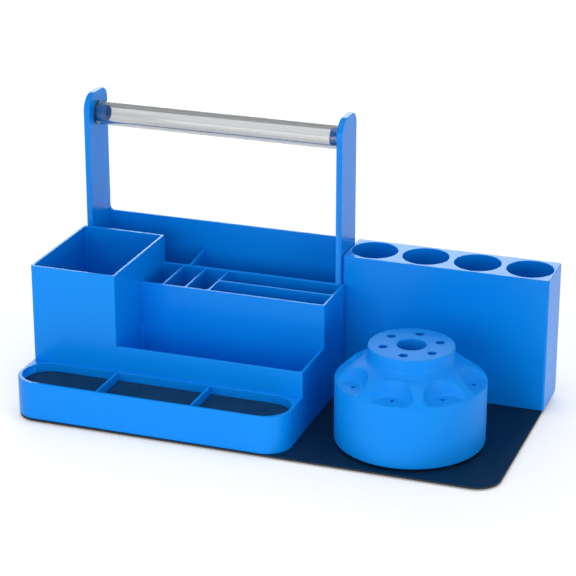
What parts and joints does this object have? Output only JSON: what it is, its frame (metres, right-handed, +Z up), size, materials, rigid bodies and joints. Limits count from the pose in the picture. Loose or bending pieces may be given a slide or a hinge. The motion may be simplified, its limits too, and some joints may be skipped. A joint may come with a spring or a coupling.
{
  "type": "desk organizer",
  "caption": "Modular desk organizer: a stepped caddy with a clear carrying bar, a socket block and a round turret, held by magnets on a thin rectangular board.",
  "frame": {"origin": "on the table, under the middle of the footprint", "axes": "+X along the board from the caddy towards the socket block, +Y from the tray towards the back, +Z up"},
  "size_m": [0.4, 0.1956, 0.2281],
  "materials": {
    "body_blue": "satin moulded",
    "turret_blue": "finer, more matt texture than the other modules",
    "board_navy": "smooth powder coat",
    "grip_black": "fine texture",
    "liner_navy": "matt soft foam",
    "tube_clear": "clear polished",
    "washer_navy": "matt",
    "base_dark": "matt moulded",
    "steel": "zinc plated",
    "magnet": "nickel plated",
    "nylon": "natural"
  },
  "bodies": {
    "board": {"base_board": "board_navy", "base_grip_pad": "grip_black"},
    "caddy": {"caddy_body": "body_blue", "tray_liner_left": "liner_navy", "tray_liner_middle": "liner_navy", "tray_liner_right": "liner_navy", "handle_plug_left": "body_blue", "handle_plug_right": "body_blue", "handle_washer_left": "washer_navy", "handle_washer_right": "washer_navy", "caddy_magnet_1": "magnet", "caddy_magnet_2": "magnet", "caddy_magnet_3": "magnet", "caddy_magnet_4": "magnet", "caddy_magnet_5": "magnet", "caddy_magnet_6": "magnet"},
    "handle": {"handle_tube": "tube_clear"},
    "block": {"socket_block": "body_blue", "socket_block_cover": "body_blue", "cover_screw_1": "steel", "cover_screw_2": "steel", "cover_screw_3": "steel", "cover_screw_4": "steel", "block_magnet_1": "magnet", "block_magnet_2": "magnet", "block_magnet_3": "magnet"},
    "turntable": {"turret_base": "base_dark", "turret_bolt": "steel", "turret_thrust_washer": "nylon", "turret_nut_washer": "steel", "turret_lock_nut": "steel", "turret_magnet_1": "magnet", "turret_magnet_2": "magnet", "turret_magnet_3": "magnet", "turret_magnet_4": "magnet"},
    "turret": {"turret_body": "turret_blue"}
  },
  "joints": [
    {"name": "caddy_lift", "type": "slide", "parent": "board", "child": "caddy", "axis": [0, 0, 1], "range_m": [0, 0.03]},
    {"name": "block_lift", "type": "slide", "parent": "board", "child": "block", "axis": [0, 0, 1], "range_m": [0, 0.03]},
    {"name": "turret_lift", "type": "slide", "parent": "board", "child": "turntable", "axis": [0, 0, 1], "range_m": [0, 0.03]},
    {"name": "turret_spin", "type": "hinge", "parent": "turntable", "child": "turret", "pos_m": [0.113, -0.03075, 0.0038], "axis": [0, 0, 1], "continuous": true},
    {"name": "handle_spin", "type": "hinge", "parent": "caddy", "child": "handle", "pos_m": [-0.08425, 0.07025, 0.2096], "axis": [1, 0, 0], "continuous": true}
  ]
}
